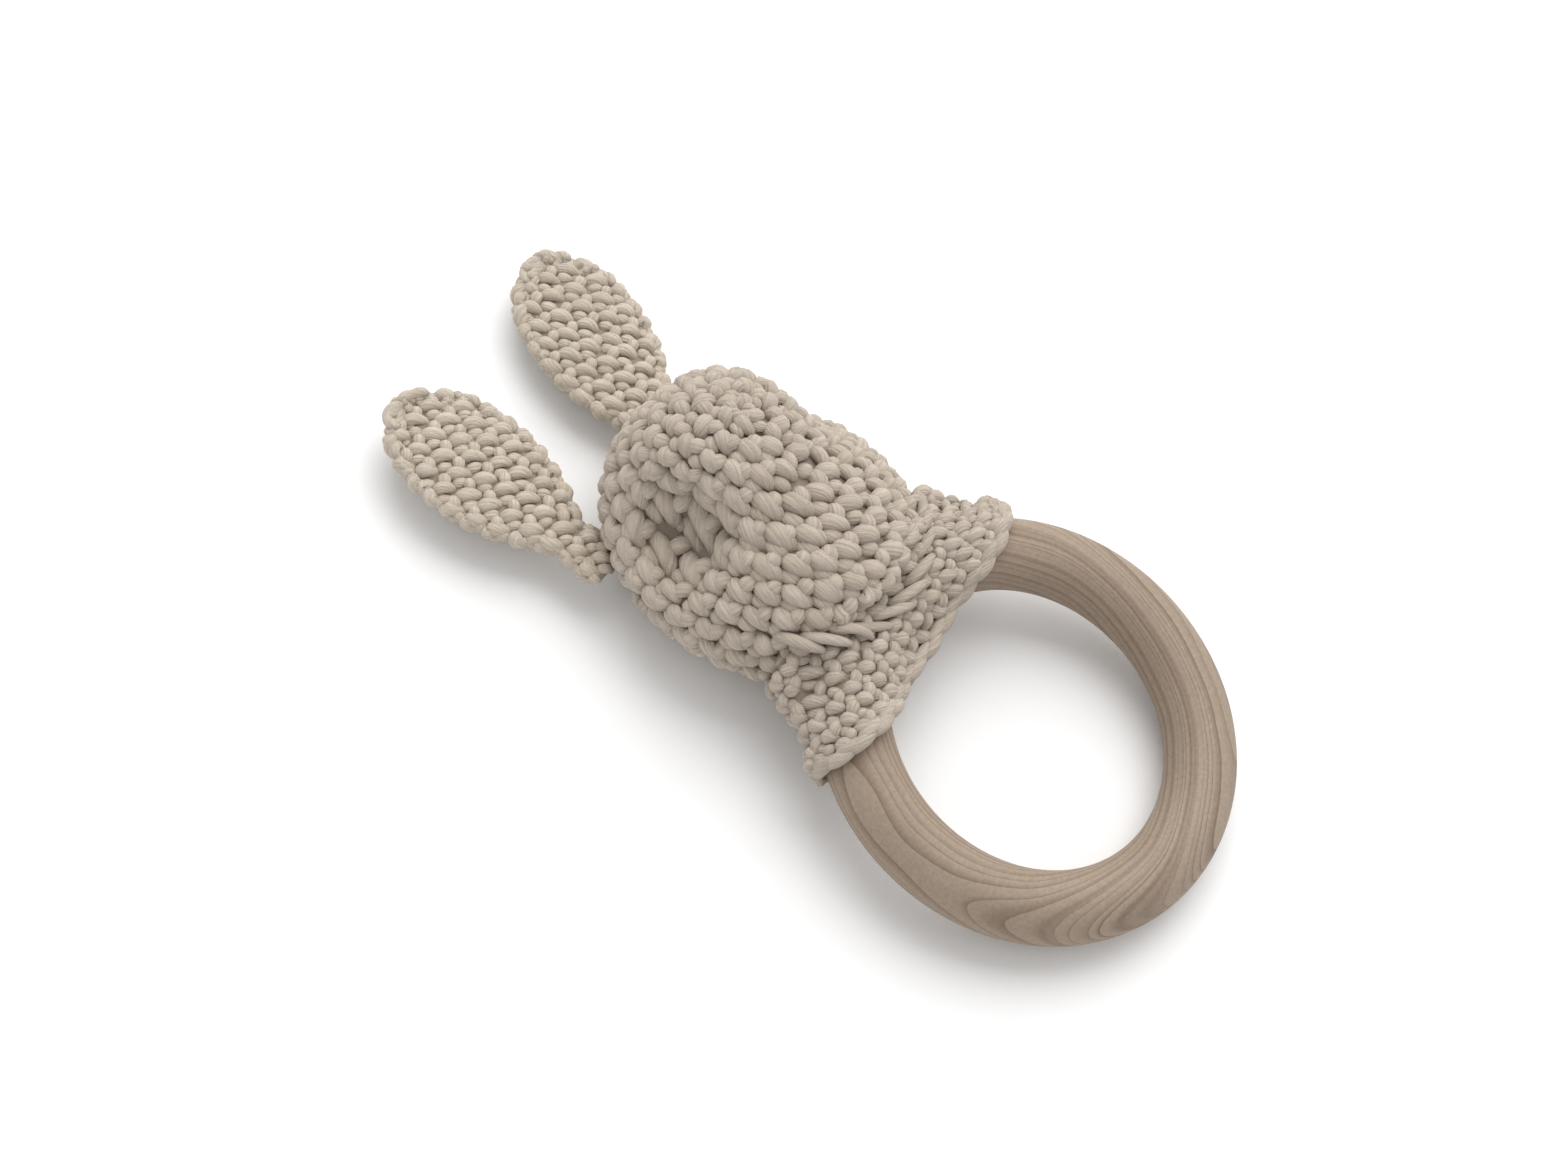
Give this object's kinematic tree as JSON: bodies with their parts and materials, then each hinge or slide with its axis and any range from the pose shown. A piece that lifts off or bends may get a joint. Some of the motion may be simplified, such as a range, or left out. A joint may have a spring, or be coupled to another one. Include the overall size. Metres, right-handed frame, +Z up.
{
  "type": "teething ring",
  "caption": "Turned wooden teething ring held in the folded crochet flap of a small stuffed rabbit head with two flat bending ears.",
  "frame": {"origin": "on the supporting surface, under the middle of the whole toy as it lies on its back", "axes": "+Z up from the surface towards the snout, +Y from the wooden ring to the ears, +X towards the rabbit's left"},
  "size_m": [0.07, 0.1456, 0.036],
  "materials": {
    "beech": "sanded bare beech with fine growth lines",
    "crochet": "matte undyed cotton yarn in single crochet",
    "ear_crochet": "matte undyed cotton yarn in finer single crochet",
    "sewing_yarn": "matte undyed cotton yarn",
    "stuffing": "loose fibre fill"
  },
  "bodies": {
    "rabbit": {"head_cover": "crochet", "head_stuffing": "stuffing", "ring_wrap": "crochet", "neck_seam": "sewing_yarn", "wrap_back_seam": "sewing_yarn", "eye_draw_yarn": "sewing_yarn", "right_ear_root": "sewing_yarn", "left_ear_root": "sewing_yarn"},
    "ring": {"wooden_ring": "beech"},
    "ear_on_right": {"right_ear": "ear_crochet"},
    "ear_on_left": {"left_ear": "ear_crochet"}
  },
  "joints": [
    {"name": "ring_turn", "type": "hinge", "parent": "rabbit", "child": "ring", "pos_m": [0, -0.03799, 0.00947], "axis": [0, -0.1271, 0.9919], "continuous": true},
    {"name": "right_ear_flop", "type": "hinge", "parent": "rabbit", "child": "ear_on_right", "pos_m": [-0.0181, 0.03821, 0.0075], "axis": [0.9982, -0.0593, 0], "range_deg": [-60, 60], "stiffness_Nm_per_rad": 0.015},
    {"name": "left_ear_flop", "type": "hinge", "parent": "rabbit", "child": "ear_on_left", "pos_m": [0.0086, 0.04001, 0.006], "axis": [0.9178, -0.3971, 0], "range_deg": [-60, 60], "stiffness_Nm_per_rad": 0.015}
  ]
}
